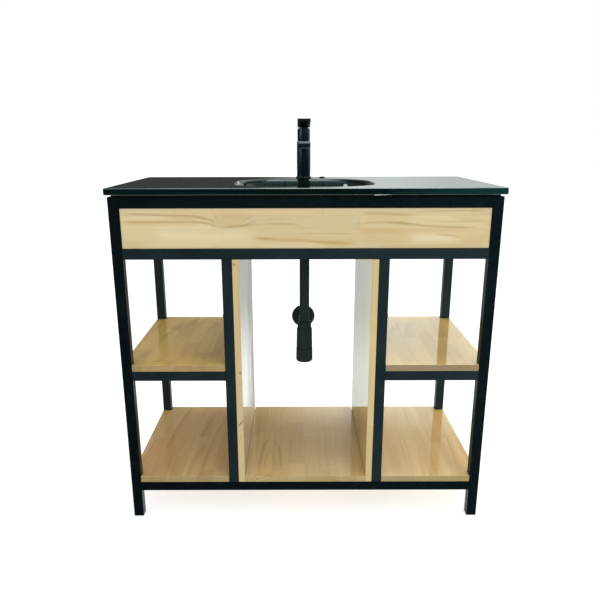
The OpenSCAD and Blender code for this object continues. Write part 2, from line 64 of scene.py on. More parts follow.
# ---------------------------------------------------------------- node helpers
class Shader:
    """Short ways to build a node tree."""

    def __init__(self, name):
        self.mat = bpy.data.materials.new(name)
        self.mat.use_nodes = True
        self.nt = self.mat.node_tree
        self.nt.nodes.clear()
        self.out = self.nt.nodes.new("ShaderNodeOutputMaterial")

    def put(self, sock, v):
        if isinstance(v, bpy.types.NodeSocket):
            self.nt.links.new(v, sock)
        elif v is not None:
            sock.default_value = v

    def math(self, op, a, b=None, c=None, clamp=False):
        n = self.nt.nodes.new("ShaderNodeMath")
        n.operation = op
        n.use_clamp = clamp
        for i, v in enumerate((a, b, c)):
            self.put(n.inputs[i], v)
        return n.outputs[0]

    def add(self, a, b):
        return self.math("ADD", a, b)

    def sub(self, a, b):
        return self.math("SUBTRACT", a, b)

    def mul(self, a, b):
        return self.math("MULTIPLY", a, b)

    def step(self, v, lo, hi, a=0.0, b=1.0):
        n = self.nt.nodes.new("ShaderNodeMapRange")
        n.interpolation_type = "SMOOTHSTEP"
        self.put(n.inputs["Value"], v)
        n.inputs["From Min"].default_value = lo
        n.inputs["From Max"].default_value = hi
        n.inputs["To Min"].default_value = a
        n.inputs["To Max"].default_value = b
        return n.outputs["Result"]

    def lin(self, v, lo, hi, a=0.0, b=1.0):
        n = self.nt.nodes.new("ShaderNodeMapRange")
        self.put(n.inputs["Value"], v)
        n.inputs["From Min"].default_value = lo
        n.inputs["From Max"].default_value = hi
        n.inputs["To Min"].default_value = a
        n.inputs["To Max"].default_value = b
        return n.outputs["Result"]

    def mix(self, f, a, b, mode="MIX"):
        n = self.nt.nodes.new("ShaderNodeMix")
        n.data_type = "RGBA"
        n.blend_type = mode
        self.put(n.inputs[0], f)
        self.put(n.inputs[6], a if isinstance(a, bpy.types.NodeSocket) else rgba(a))
        self.put(n.inputs[7], b if isinstance(b, bpy.types.NodeSocket) else rgba(b))
        return n.outputs[2]

    def scale(self, col, f):
        """A colour times a number."""
        n = self.nt.nodes.new("ShaderNodeVectorMath")
        n.operation = "SCALE"
        self.put(n.inputs[0], col)
        self.put(n.inputs["Scale"], f)
        return n.outputs[0]

    def co(self):
        n = self.nt.nodes.new("ShaderNodeTexCoord")
        return n.outputs["Object"]

    def normal(self):
        n = self.nt.nodes.new("ShaderNodeNewGeometry")
        return n.outputs["Normal"]

    def split(self, v):
        n = self.nt.nodes.new("ShaderNodeSeparateXYZ")
        self.put(n.inputs[0], v)
        return n.outputs[0], n.outputs[1], n.outputs[2]

    def join(self, x, y, z):
        n = self.nt.nodes.new("ShaderNodeCombineXYZ")
        for i, v in enumerate((x, y, z)):
            self.put(n.inputs[i], v)
        return n.outputs[0]

    def noise(self, vec, scale=1.0, detail=3.0, rough=0.5, distortion=0.0):
        n = self.nt.nodes.new("ShaderNodeTexNoise")
        self.put(n.inputs["Vector"], vec)
        n.inputs["Scale"].default_value = scale
        n.inputs["Detail"].default_value = detail
        n.inputs["Roughness"].default_value = rough
        n.inputs["Distortion"].default_value = distortion
        return n.outputs[0]

    def white(self, vec):
        n = self.nt.nodes.new("ShaderNodeTexWhiteNoise")
        n.noise_dimensions = "3D"
        self.put(n.inputs["Vector"], vec)
        return n.outputs["Value"], n.outputs["Color"]

    def ramp(self, fac, stops, interp="EASE"):
        n = self.nt.nodes.new("ShaderNodeValToRGB")
        n.color_ramp.interpolation = interp
        e = n.color_ramp.elements
        while len(e) < len(stops):
            e.new(0.5)
        for i, (p, c) in enumerate(stops):
            e[i].position = p
            e[i].color = rgba(c) if not isinstance(c, (int, float)) else (c, c, c, 1)
        self.put(n.inputs[0], fac)
        return n.outputs[0]

    def bump(self, height, strength=0.3, distance=0.001, normal=None):
        n = self.nt.nodes.new("ShaderNodeBump")
        n.inputs["Strength"].default_value = strength
        n.inputs["Distance"].default_value = distance
        self.put(n.inputs["Height"], height)
        self.put(n.inputs["Normal"], normal)
        return n.outputs[0]

    def principled(self, **kw):
        n = self.nt.nodes.new("ShaderNodeBsdfPrincipled")
        for k, v in kw.items():
            key = k.replace("_", " ")
            if key == "Base Color" and not isinstance(v, bpy.types.NodeSocket):
                v = rgba(v)
            if key in ("Coat Tint", "Specular Tint", "Emission Color") and not isinstance(v, bpy.types.NodeSocket):
                v = rgba(v)
            self.put(n.inputs[key], v)
        self.nt.links.new(n.outputs[0], self.out.inputs[0])
        return n


def rgba(c):
    return (c[0], c[1], c[2], 1.0) if len(c) == 3 else tuple(c)


# ---------------------------------------------------------------- materials
def pine(name, grain, seed, strip, block, light, dark, offset=0.0, ring=0.0062, contrast=1.0, coat=0.55, marks=(), strokes=None, span=None, joints=True, end_dark=0.66, end_tint=(1.0, 1.0, 1.0), painted_side_shade=None):
    """Finger-jointed pine: strips glued side by side, each made of blocks joined end to end, with growth rings inside every block."""
    s = Shader(name)
    x, y, z = s.split(s.co())
    u, v, w = {"x": (x, z, y), "y": (y, x, z), "z": (z, y, x)}[grain]
    v0 = v
    axis = {"x": 0, "y": 1, "z": 2}[grain]
    v = s.add(v, offset)
    si = s.math("FLOOR", s.math("DIVIDE", v, strip))
    sf = s.math("FRACT", s.math("DIVIDE", v, strip))
    r_strip, _ = s.white(s.join(si, seed + 0.37, 4.1))
    # zigzag of the finger joints
    zig = s.mul(s.math("PINGPONG", v, 0.0024), 2.2)
    along = s.math("DIVIDE", s.add(s.add(u, zig), s.mul(r_strip, block * 3.1)), block)
    bi = s.math("FLOOR", along)
    bf = s.math("FRACT", along)
    r0, rc = s.white(s.join(si, bi, seed + 0.11))
    r1, r2, r3 = s.split(rc)
    lu = s.mul(s.sub(bf, 0.5), block)
    # distance from a tilted pith line: long tongues where it lies below the face, straight lines where it lies beside it
    lv = s.sub(s.mul(s.sub(sf, 0.5), strip), s.mul(s.sub(r1, 0.5), 0.085))
    lv = s.sub(lv, s.mul(s.mul(s.sub(r3, 0.5), 0.03), lu))
    lw = s.add(s.add(w, s.mul(s.sub(r2, 0.5), 0.07)), s.mul(s.mul(s.sub(r0, 0.5), 0.06), lu))
    r = s.math("SQRT", s.add(s.mul(lv, lv), s.mul(lw, lw)))
    warp = s.noise(s.join(s.mul(u, 1.9), s.mul(v, 6.0), s.add(s.mul(w, 6.0), s.mul(r0, 9.0))), 1.0, 1.5, 0.45)
    warp2 = s.noise(s.join(s.mul(u, 12.0), s.mul(v, 60.0), s.mul(w, 60.0)), 1.0, 2.0, 0.5)
    rr = s.add(r, s.add(s.mul(s.sub(warp, 0.5), 0.009), s.mul(s.sub(warp2, 0.5), 0.0014)))
    rf = s.math("FRACT", s.math("DIVIDE", rr, s.add(ring * 0.7, s.mul(r1, ring * 0.9))))
    late = s.ramp(rf, [(0.0, 0.0), (0.30, 0.05), (0.62, 0.34), (0.86, 1.0), (0.93, 0.85), (1.0, 0.0)])
    # fibres and broad stripes along the grain
    fib = s.noise(s.join(s.mul(u, 9.0), s.mul(v, 800.0), s.mul(w, 800.0)), 1.0, 3.0, 0.6)
    fib2 = s.noise(s.join(s.mul(u, 2.2), s.mul(v, 150.0), s.mul(w, 150.0)), 1.0, 3.0, 0.55)
    patch = s.noise(s.join(s.mul(u, 1.6), s.mul(v, 26.0), s.mul(w, 26.0)), 1.0, 2.0, 0.5)
    amount = s.mul(late, s.add(0.16 * contrast, s.mul(s.mul(r0, r0), 0.40 * contrast)))
    amount = s.add(amount, s.mul(s.sub(fib2, 0.5), 0.50 * contrast))
    amount = s.add(amount, s.mul(s.sub(patch, 0.42), 0.75 * contrast))
    amount = s.math("ADD", amount, s.mul(s.sub(r2, 0.42), 0.42 * contrast), clamp=True)
    col = s.mix(amount, light, dark)
    pink = s.step(r3, 0.45, 1.0, 0.0, 0.6)
    col = s.mix(pink, col, s.mix(1.0, col, (1.03, 0.93, 0.84), "MULTIPLY"))
    val = s.add(0.94, s.mul(r0, 0.10))
    val = s.mul(val, s.lin(fib, 0.3, 0.7, 0.965, 1.025))
    pore = s.noise(s.join(s.mul(u, 45.0), s.mul(v, 1000.0), s.mul(w, 1000.0)), 1.0, 1.0, 0.4)
    val = s.mul(val, s.step(pore, 0.66, 0.74, 1.0, 0.87))
    # glue lines
    d_strip = s.mul(s.math("MINIMUM", sf, s.sub(1.0, sf)), strip)
    line = s.step(d_strip, 0.00005, 0.0005, 1.0, 0.0)
    d_block = s.mul(s.math("MINIMUM", bf, s.sub(1.0, bf)), block)
    line2 = s.step(d_block, 0.0001, 0.0007, 1.0, 0.0)
    lines = s.math("MAXIMUM", s.mul(line, 0.16), s.mul(line2, 0.26 if joints else 0.0))
    val = s.mul(val, s.sub(1.0, lines))
    # end grain, across the fibres
    n3 = s.split(s.normal())[axis]
    end = s.step(s.math("ABSOLUTE", n3), 0.6, 0.95)
    speck = s.noise(s.join(s.mul(u, 900.0), s.mul(v, 900.0), s.mul(w, 900.0)), 1.0, 2.0, 0.6)
    endval = s.mul(s.lin(speck, 0.3, 0.7, 0.82, 1.10), end_dark)
    val = s.mul(val, s.add(s.sub(1.0, end), s.mul(end, endval)))
    col = s.scale(col, val)
    col = s.mix(end, col, s.mix(1.0, col, end_tint, "MULTIPLY"))
    # painted shade: faces turned along x and the other faces are darkened and yellowed by the given factors
    if painted_side_shade:
        nx = s.math("ABSOLUTE", s.split(s.normal())[0])
        col = s.mix(s.step(nx, 0.5, 0.9), s.mix(1.0, col, painted_side_shade[1], "MULTIPLY"), s.mix(1.0, col, painted_side_shade[0], "MULTIPLY"))
    # drawn figure: dark late-wood lines and soft patches along given curves, in mm
    for (pts, half, tint, power, soft) in strokes or ():
        fc = s.nt.nodes.new("ShaderNodeFloatCurve")
        cv = fc.mapping.curves[0]
        (ua, ub), (va, vb) = span
        norm = [((a - ua) / (ub - ua), (b - va) / (vb - va)) for a, b in pts]
        while len(cv.points) < len(norm):
            cv.points.new(0.5, 0.5)
        for k, (a, b) in enumerate(norm):
            cv.points[k].location = (a, b)
            cv.points[k].handle_type = "AUTO"
        fc.mapping.update()
        uu = s.add(u, s.mul(s.sub(warp2, 0.5), 0.006))
        s.put(fc.inputs["Value"], s.lin(uu, ua / 1000, ub / 1000))
        mid = s.lin(fc.outputs[0], 0.0, 1.0, va / 1000, vb / 1000)
        d = s.math("ABSOLUTE", s.sub(s.add(v0, s.mul(s.sub(warp2, 0.5), 0.0012)), mid))
        line_like = half < 4
        half *= 1.5 if line_like else 1.0
        soft = 0.8 if line_like else 0.95
        power *= 0.96 if line_like else 0.88
        m = s.step(d, half * (1 - soft) / 1000, half * (1 + soft) / 1000, 1.0, 0.0)
        a, b = pts[0][0] / 1000, pts[-1][0] / 1000
        fade = min(0.030, 0.4 * (b - a))
        m = s.mul(m, s.mul(s.step(u, a - 0.012, a + fade), s.step(u, b - fade, b + 0.012, 1.0, 0.0)))
        m = s.mul(m, s.mul(s.lin(fib2, 0.3, 0.7, 0.55, 1.0), power))
        m = s.mul(m, s.sub(1.0, end))
        col = s.mix(m, col, tint)
    for (mu, mv, mw, du, dv, slope, tint, power) in marks:
        # an oval knot or streak: middle, half sizes, slope of its long side, colour, strength
        a = s.sub(u, mu)
        b = s.sub(s.sub(v0, mv), s.mul(a, slope))
        wob = s.mul(s.sub(warp2, 0.5), 1.3)
        d = s.add(s.math("POWER", s.math("ABSOLUTE", s.math("DIVIDE", a, du)), 2.0), s.math("POWER", s.math("ABSOLUTE", s.math("DIVIDE", b, dv)), 2.0))
        if mw is not None:
            cross = s.sub(s.sub(w, mw[0]), s.mul(a, mw[2] if len(mw) > 2 else 0.0))
            d = s.add(d, s.math("POWER", s.math("ABSOLUTE", s.math("DIVIDE", cross, mw[1])), 2.0))
        m = s.mul(s.step(s.add(d, wob), 0.25, 1.15, 1.0, 0.0), power)
        col = s.mix(m, col, tint)
    height = s.add(s.mul(fib, 0.5), s.add(s.mul(late, 0.25), s.mul(lines, -2.0)))
    bmp = s.bump(height, 0.12, 0.0006)
    wave = s.noise(s.join(s.mul(u, 7.0), s.mul(v, 16.0), s.mul(w, 16.0)), 1.0, 1.0, 0.4)
    lacquer = s.bump(wave, 0.06, 0.004)
    rough = s.lin(fib2, 0.3, 0.7, 0.42, 0.52)
    s.principled(Base_Color=col, Roughness=rough, IOR=1.45, Normal=bmp, Coat_Weight=coat, Coat_Roughness=s.lin(wave, 0.3, 0.7, 0.035, 0.08), Coat_IOR=1.5, Coat_Normal=lacquer)
    return s.mat


def powder(name, col, rough, spec, grain=2600.0, bump=0.10, across=None):
    """Powder coat or lacquer: fine texture, a little dust and slightly uneven gloss; when across is given, painted
    light makes the colour lighter from left to right.
    """
    s = Shader(name)
    co = s.co()
    fine = s.noise(co, grain, 2.0, 0.6)
    orange = s.noise(co, grain * 0.22, 2.0, 0.5)
    broad = s.noise(co, 9.0, 4.0, 0.6)
    dust = s.step(s.noise(co, 55.0, 6.0, 0.7), 0.52, 0.80)
    nz = s.split(s.normal())[2]
    up = s.step(nz, 0.3, 0.95)
    c = s.mix(s.lin(broad, 0.3, 0.7), [x * 0.82 for x in col], [x * 1.25 for x in col])
    # painted light: the colour is scaled from darker on the left to lighter on the right
    if across:
        c = s.scale(c, s.lin(s.split(co)[0], -0.45, 0.45, across[0], across[1]))
    c = s.mix(s.mul(dust, s.add(0.02, s.mul(up, 0.03))), c, (0.35, 0.36, 0.35))
    r = s.add(s.lin(broad, 0.3, 0.7, rough - 0.04, rough + 0.05), s.mul(dust, 0.10))
    h = s.add(s.mul(fine, 0.35), orange)
    s.principled(Base_Color=c, Roughness=r, Specular_IOR_Level=spec, Specular_Tint=(0.75, 0.97, 1.0), Normal=s.bump(h, bump, 0.00035))
    return s.mat


def plain(name, col, rough, spec=0.5, metallic=0.0, vary=0.08, grain=600.0, bump=0.04, **kw):
    s = Shader(name)
    co = s.co()
    n1 = s.noise(co, grain, 2.0, 0.55)
    n2 = s.noise(co, 25.0, 4.0, 0.6)
    c = s.mix(s.lin(n2, 0.3, 0.7), [x * (1 - vary) for x in col], [x * (1 + vary) for x in col])
    s.principled(Base_Color=c, Roughness=s.lin(n2, 0.3, 0.7, rough * 0.9, rough * 1.12), Metallic=metallic, Specular_IOR_Level=spec, Normal=s.bump(n1, bump, 0.0003), **kw)
    return s.mat


def turned(name, col, rough):
    """Machined metal with fine rings round the z axis."""
    s = Shader(name)
    x, y, z = s.split(s.co())
    n = s.noise(s.join(s.mul(x, 40.0), s.mul(y, 40.0), s.mul(z, 2500.0)), 1.0, 2.0, 0.5)
    s.principled(Base_Color=s.mix(n, [v * 0.85 for v in col], col), Metallic=1.0, Roughness=s.lin(n, 0.3, 0.7, rough * 0.8, rough * 1.3), Normal=s.bump(n, 0.05, 0.0002))
    return s.mat


def glass_face(name):
    """Polished glass painted black on its back: a black mirror with a breath of green, faint wiping marks and dust."""
    s = Shader(name)
    co = s.co()
    x, y, z = s.split(co)
    wipe = s.noise(s.join(s.mul(x, 6.0), s.mul(y, 30.0), s.mul(z, 30.0)), 1.0, 3.0, 0.6)
    smear = s.noise(co, 14.0, 5.0, 0.65, 0.6)
    dust = s.step(s.noise(co, 900.0, 1.0, 0.5), 0.70, 0.80)
    r = s.add(0.012, s.add(s.mul(s.step(smear, 0.5, 0.8), 0.03), s.mul(s.step(wipe, 0.55, 0.8), 0.02)))
    c = s.mix(s.mul(dust, 0.012), (0.0022, 0.0062, 0.0056), (0.4, 0.42, 0.4))
    s.principled(Base_Color=c, Roughness=r, IOR=1.5, Specular_Tint=(0.86, 1.0, 0.93))
    return s.mat


def glass_edge(name):
    """Polished edge of the glass, where its green shows; painted light makes it near black on the left and in the
    middle and lighter green on the right.
    """
    s = Shader(name)
    co = s.co()
    x, y, z = s.split(co)
    streak = s.noise(s.join(s.mul(x, 3.0), s.mul(y, 3.0), s.mul(z, 260.0)), 1.0, 3.0, 0.6)
    grind = s.noise(s.join(s.mul(x, 900.0), s.mul(y, 900.0), s.mul(z, 60.0)), 1.0, 2.0, 0.5)
    # painted light: the edge colour goes from near black on the left and middle to a lighter green on the right, and
    # the streaks show more on the right
    right = s.step(x, 0.12, 0.42)
    c = s.mix(right, (0.0007, 0.0036, 0.0036), (0.0032, 0.025, 0.0205))
    c = s.mix(s.mul(s.step(streak, 0.45, 0.75), s.add(0.25, s.mul(right, 0.5))), c, (0.006, 0.034, 0.028))
    s.principled(Base_Color=c, Roughness=s.lin(grind, 0.3, 0.7, 0.10, 0.2), IOR=1.5, Specular_IOR_Level=0.22, Normal=s.bump(grind, 0.03, 0.0002))
    return s.mat


STEEL = powder("powder_black", (0.0008, 0.0036, 0.0048), 0.40, 0.20, across=(0.7, 1.5))
# painted light and shade: the frame steel comes as lit and shaded copies of one black powder coat; the front legs and
# the front top and bottom rails keep the darkest, the rear legs get the lightest, the other bars a lighter one
STEEL_PAINTED_LIT = powder("powder_black_painted_lit", (0.0072, 0.0150, 0.0172), 0.46, 0.24, across=(0.76, 1.30))
STEEL_REAR_PAINTED_LIT = powder("powder_black_rear_painted_lit", (0.0110, 0.0225, 0.0245), 0.46, 0.24, across=(0.85, 1.30))
PAINTED_SHADE_BARS = ("leg_front_left", "leg_front_right", "top_rail_front", "bottom_rail_front")
BLACK = powder("lacquer_black", (0.0030, 0.0060, 0.0078), 0.31, 0.42, 1000.0, 0.005)
PADDLE = powder("lacquer_black_lever", (0.0028, 0.0056, 0.0072), 0.13, 0.26, 1000.0, 0.003)
PLASTIC = powder("plastic_black", (0.0135, 0.0250, 0.0275), 0.44, 0.32, 1200.0, 0.05)
ROSETTE = powder("rosette_black", (0.0200, 0.0335, 0.0385), 0.46, 0.30, 1200.0, 0.05)
CAPS = powder("cap_black", (0.012, 0.012, 0.013), 0.55, 0.3, 900.0, 0.08)
RUBBER = plain("rubber", (0.014, 0.014, 0.014), 0.7, 0.3)
FOAM = plain("foam_black", (0.012, 0.012, 0.012), 0.85, 0.25, 0.0, 0.3, 1500.0, 0.6)
ZINC = plain("zinc", (0.55, 0.56, 0.58), 0.32, 0.5, 1.0, 0.12, 500.0, 0.08)
BRASS = turned("brass", (0.72, 0.52, 0.25), 0.28)
WHITEP = plain("white_plastic", (0.72, 0.72, 0.69), 0.35)
AERATOR = plain("aerator", (0.10, 0.105, 0.11), 0.3, 0.5, 0.6)
GLASS = glass_face("glass_black")
EDGE = glass_edge("glass_edge")
BACK = powder("back_paint", (0.006, 0.010, 0.010), 0.5, 0.25, 500.0, 0.05)
WELD = powder("weld_black", (0.0042, 0.0078, 0.0090), 0.36, 0.22, 1600.0, 0.10)

PALE_L, PALE_D = (0.615, 0.505, 0.285), (0.49, 0.355, 0.15)
GOLD_L, GOLD_D = (0.78, 0.525, 0.135), (0.51, 0.295, 0.056)
BROWN = (0.16, 0.075, 0.025)
LINE, SOFT, DEEP, PALE = (0.35, 0.235, 0.080), (0.50, 0.36, 0.14), (0.46, 0.285, 0.09), (0.70, 0.61, 0.40)
FIGURE = [
    # pale ground under the left half, then patches, then lines: points along the panel, half width, colour, strength, softness
    ([(-350, 742), (-250, 738), (-118, 736)], 17, PALE, 0.55, 0.5),
    ([(-421, 715), (-395, 714), (-372, 714)], 7, SOFT, 0.6, 0.8),
    ([(-212, 778), (-170, 776), (-126, 779)], 12, SOFT, 0.60, 0.35),
    ([(-198, 764), (-170, 762), (-140, 764)], 5, SOFT, 0.45, 0.6),
    ([(126, 778), (200, 776), (245, 777)], 13, SOFT, 0.50, 0.5),
    ([(112, 750), (160, 747), (232, 752)], 7, (0.50, 0.33, 0.14), 0.60, 0.6),
    ([(113, 722), (170, 722), (232, 722)], 9, SOFT, 0.35, 0.6),
    ([(236, 731), (290, 731), (352, 729)], 8, PALE, 0.75, 0.5),
    ([(356, 720), (385, 722), (421, 722)], 12, DEEP, 0.40, 0.6),
    ([(27, 722), (60, 718), (110, 719)], 8, DEEP, 0.55, 0.7),
    ([(-420, 786.5), (-369, 785.9), (-312, 783.7), (-267, 782.3), (-238, 778), (-222, 773.8), (-208, 766.7), (-199, 759.5)], 1.5, LINE, 0.80, 0.5),
    ([(-330, 781), (-280, 778), (-245, 775)], 3.2, SOFT, 0.65, 0.7),
    ([(-422, 769.5), (-356, 768.9), (-299, 769.5), (-250, 768.7), (-227, 766.1), (-213, 761), (-201, 757.5)], 1.7, LINE, 0.85, 0.5),
    ([(-422, 766), (-330, 765), (-240, 765)], 3.2, SOFT, 0.55, 0.7),
    ([(-212, 791), (-203, 775), (-193, 759)], 1.3, LINE, 0.45, 0.6),
    ([(-199, 758.7), (-185, 757), (-159, 759.3), (-142, 761), (-129, 766.1), (-110, 771.8)], 1.4, LINE, 0.80, 0.5),
    ([(-150, 758.5), (-138, 759.5), (-122, 762.5), (-108, 764)], 1.5, LINE, 0.6, 0.6),
    ([(-142, 771), (-133, 777), (-120, 783)], 1.2, LINE, 0.4, 0.6),
    ([(-107, 772.3), (-62, 774), (-16, 772.9)], 1.1, LINE, 0.45, 0.6),
    ([(-99, 765), (-56, 763.8), (-16, 763.2)], 1.5, LINE, 0.65, 0.6),
    ([(-111, 730), (-56, 727.7), (0, 726), (27, 723.1), (85, 719.6), (111, 719)], 2.3, DEEP, 0.85, 0.6),
    ([(-113, 731.5), (-98, 730.5), (-80, 729.5)], 1.5, LINE, 0.8, 0.6),
    ([(-20, 741), (40, 742.5), (108, 741)], 1.0, LINE, 0.45, 0.6),
    ([(126, 789.3), (197, 785.9), (249, 784.2)], 1.8, LINE, 0.60, 0.6),
    ([(112, 763.8), (184, 767.2), (244, 762.7), (285, 758.1), (391, 755.3)], 1.6, LINE, 0.70, 0.6),
    ([(190, 766), (215, 765), (246, 762)], 2.4, (0.36, 0.25, 0.06), 0.60, 0.6),
    ([(243, 786.5), (254, 789.3), (311, 792.7), (419, 793.8)], 1.1, LINE, 0.55, 0.6),
    ([(284, 770.1), (341, 768.4), (415, 770.6)], 1.2, LINE, 0.40, 0.6),
    ([(300, 739.5), (338, 735.8), (361, 730.6)], 1.1, LINE, 0.60, 0.6),
    ([(160, 712), (258, 712.6), (374, 712)], 2.0, SOFT, 0.60, 0.6)]
P_FRONT = pine("pine_front", "x", 3.0, 0.0307, 0.34, (0.592, 0.492, 0.275), (0.460, 0.334, 0.136), offset=0.0150, contrast=0.55, coat=0.35, strokes=FIGURE, span=((-425, 425), (705, 802)))
P_SIDE_L = pine("pine_side_left", "y", 5.0, 0.031, 0.19, PALE_L, PALE_D, coat=0.4)
P_SIDE_R = pine("pine_side_right", "y", 7.0, 0.031, 0.19, PALE_L, PALE_D, coat=0.4)
# darker, greyer patches across the middle of the front edges of the right shelf and the right floor board
EDGE_DARK_PATCH = (0.26, 0.20, 0.125)
P_SH_L = pine("pine_shelf_left", "y", 11.0, 0.040, 0.27, GOLD_L, GOLD_D, coat=1.0, end_dark=0.52, end_tint=(0.95, 0.99, 1.5))
P_SH_R = pine("pine_shelf_right", "y", 13.0, 0.040, 0.27, GOLD_L, GOLD_D, contrast=0.8, coat=1.0, end_dark=0.46, end_tint=(0.86, 0.94, 1.70), marks=[
    (-0.240, 0.235, (0.413, 0.009), 0.003, 0.115, 0.0, EDGE_DARK_PATCH, 0.55), (-0.240, 0.330, (0.410, 0.006), 0.003, 0.070, 0.0, EDGE_DARK_PATCH, 0.40)])
P_FL_L = pine("pine_floor_left", "y", 17.0, 0.040, 0.27, (0.60, 0.41, 0.165), (0.40, 0.24, 0.075), coat=1.0, end_dark=0.66, end_tint=(0.95, 1.0, 1.05))
FL_C_ARCS = [
    # flanks of a nested tongue figure: points along the board, half width, colour, strength, softness
    ([(-195, -123), (-120, -118), (-60, -112), (-22, -100)], 2.4, (0.33, 0.20, 0.07), 0.48, 0.6), ([(-195, -62), (-120, -68), (-60, -78), (-22, -98)], 2.4, (0.33, 0.20, 0.07), 0.48, 0.6),
    ([(-190, -108), (-130, -104), (-95, -97)], 1.8, (0.36, 0.22, 0.08), 0.40, 0.6), ([(-190, -80), (-130, -85), (-95, -95)], 1.8, (0.36, 0.22, 0.08), 0.40, 0.6),
    ([(-200, 62), (-120, 58), (-20, 66)], 1.6, (0.36, 0.23, 0.09), 0.40, 0.6), ([(-205, 84), (-140, 80), (-60, 88)], 1.6, (0.36, 0.23, 0.09), 0.40, 0.6)]
P_FL_C = pine("pine_floor_centre", "y", 19.0, 0.044, 0.25, (0.68, 0.465, 0.155), (0.46, 0.28, 0.068), contrast=0.85, coat=1.0, end_dark=0.74, end_tint=(0.90, 0.98, 1.32), strokes=FL_C_ARCS, span=((-240, 200), (-156, 156)))
P_FL_R = pine("pine_floor_right", "y", 23.0, 0.040, 0.27, (0.72, 0.52, 0.20), (0.48, 0.30, 0.088), contrast=0.8, coat=1.0, end_dark=0.62, end_tint=(0.86, 0.91, 0.96), marks=[
    (-0.240, 0.245, (0.108, 0.008), 0.003, 0.070, 0.0, (0.34, 0.27, 0.15), 0.45)])
# painted shade for the dividers: the first factor darkens their sides inside the bays, the second their edges; the left
# divider is shaded more than the right
DIVIDER_PAINTED_SHADE = ((0.76, 0.64, 0.40), (0.90, 0.86, 0.76))
DIVIDER_PAINTED_SHADE_R = ((1.0, 0.84, 0.56), (0.96, 0.92, 0.80))
P_DV_L = pine("pine_divider_left", "z", 29.0, 0.045, 0.30, PALE_L, PALE_D, coat=1.0, end_dark=0.8, painted_side_shade=DIVIDER_PAINTED_SHADE, marks=[
    (0.264, -0.240, (-0.1635, 0.0028, 0.75), 0.010, 0.020, 0.0, BROWN, 0.80), (0.226, -0.240, (-0.164, 0.0022, 0.30), 0.014, 0.012, 0.0, (0.40, 0.24, 0.09), 0.55),
    (0.401, -0.240, (-0.160, 0.0028, 0.2), 0.0035, 0.010, 0.0, BROWN, 0.75), (0.670, -0.240, (-0.167, 0.003), 0.005, 0.010, 0.0, BROWN, 0.6),
    (0.330, -0.240, (-0.1685, 0.0016), 0.050, 0.010, 0.0, (0.46, 0.31, 0.12), 0.5), (0.550, -0.240, (-0.159, 0.0014), 0.060, 0.010, 0.0, (0.46, 0.31, 0.12), 0.45)])
P_DV_R = pine("pine_divider_right", "z", 31.0, 0.045, 0.30, PALE_L, PALE_D, coat=1.0, end_dark=0.8, painted_side_shade=DIVIDER_PAINTED_SHADE_R, marks=[
    (0.52, -0.240, (0.163, 0.010), 0.014, 0.012, 0.0, (0.55, 0.38, 0.14), 0.4), (0.400, -0.240, (0.1600, 0.0015), 0.070, 0.010, 0.0, (0.46, 0.31, 0.12), 0.45)])


# ---------------------------------------------------------------- mesh helpers
def make(name, verts, faces, mats, body="cabinet", replaces=(), slot=None, smooth=40.0, indices=None):
    me = bpy.data.meshes.new(name)
    me.from_pydata([tuple(v) for v in verts], [], [tuple(f) for f in faces])
    for m in mats if isinstance(mats, (list, tuple)) else [mats]:
        me.materials.append(m)
    if indices is not None:
        me.polygons.foreach_set("material_index", indices)
    bm = bmesh.new()
    bm.from_mesh(me)
    bmesh.ops.remove_doubles(bm, verts=bm.verts, dist=1e-6)
    bmesh.ops.recalc_face_normals(bm, faces=bm.faces)
    bm.to_mesh(me)
    bm.free()
    return place(name, me, body, replaces, slot, smooth)


def place(name, me, body="cabinet", replaces=(), slot=None, smooth=40.0):
    if smooth:
        me.polygons.foreach_set("use_smooth", [True] * len(me.polygons))
        me.set_sharp_from_angle(angle=math.radians(smooth))
    me.update()
    o = bpy.data.objects.new(name, me)
    scene.collection.objects.link(o)
    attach(o, body)
    if replaces:
        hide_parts(*replaces)
    return o


def bevelled(bm, width, segments=3, angle=35.0):
    """Rounds every edge sharper than the angle."""
    edges = [e for e in bm.edges if len(e.link_faces) == 2 and e.calc_face_angle(0) > math.radians(angle)]
    if width > 0 and edges:
        bmesh.ops.bevel(bm, geom=edges, offset=width, segments=segments, profile=0.6, affect="EDGES", clamp_overlap=True)


def prism(name, outline, z0, z1, mat, width=0.0008, segments=3, matrix=None, **kw):
    """Outline in mm, in the plane of the first two axes, raised from z0 to z1 along the third; edges rounded."""
    bm = bmesh.new()
    low = [bm.verts.new((x / 1000, y / 1000, z0 / 1000)) for x, y in outline]
    high = [bm.verts.new((x / 1000, y / 1000, z1 / 1000)) for x, y in outline]
    n = len(outline)
    bm.faces.new(low[::-1])
    bm.faces.new(high)
    for i in range(n):
        bm.faces.new((low[i], low[(i + 1) % n], high[(i + 1) % n], high[i]))
    bmesh.ops.recalc_face_normals(bm, faces=bm.faces)
    bevelled(bm, width, segments)
    me = bpy.data.meshes.new(name)
    bm.to_mesh(me)
    bm.free()
    if matrix is not None:
        me.transform(matrix)
    me.materials.append(mat)
    smooth = kw.pop("smooth", 30.0)
    o = place(name, me, smooth=smooth, **kw)
    m = o.modifiers.new("flat_faces", "WEIGHTED_NORMAL")
    m.keep_sharp = True
    m.weight = 80
    return o


def rect(x0, y0, x1, y1):
    return [(x0, y0), (x1, y0), (x1, y1), (x0, y1)]


